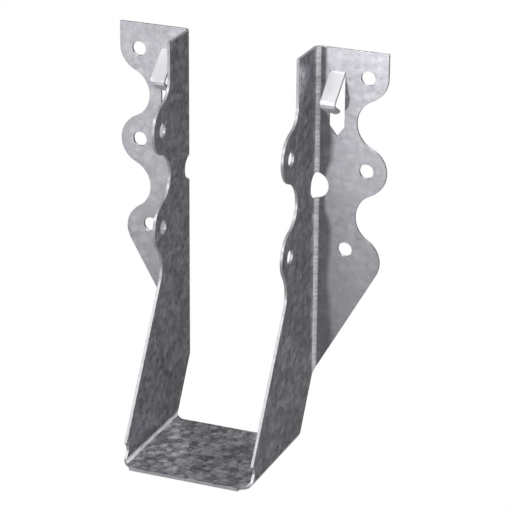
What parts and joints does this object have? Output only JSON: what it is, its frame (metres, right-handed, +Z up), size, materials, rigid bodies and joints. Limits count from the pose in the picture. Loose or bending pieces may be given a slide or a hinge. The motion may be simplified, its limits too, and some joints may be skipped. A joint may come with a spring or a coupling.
{
  "type": "joist hanger",
  "caption": "Folded galvanised steel hanger that nails to a header and carries the end of a joist on a seat between its side walls.",
  "frame": {"origin": "on the header's face, below the middle of the joist, level with the underside of the seat", "axes": "+X to the right across the joist, +Y from the joist towards the header, +Z up"},
  "size_m": [0.0856, 0.0518, 0.1215],
  "materials": {
    "galvanised_sheet": "hot-dip galvanised sheet steel, dull grey with faint spangle, bare bright cut edges"
  },
  "bodies": {
    "root": {"joist_hanger": "galvanised_sheet"}
  },
  "joints": []
}
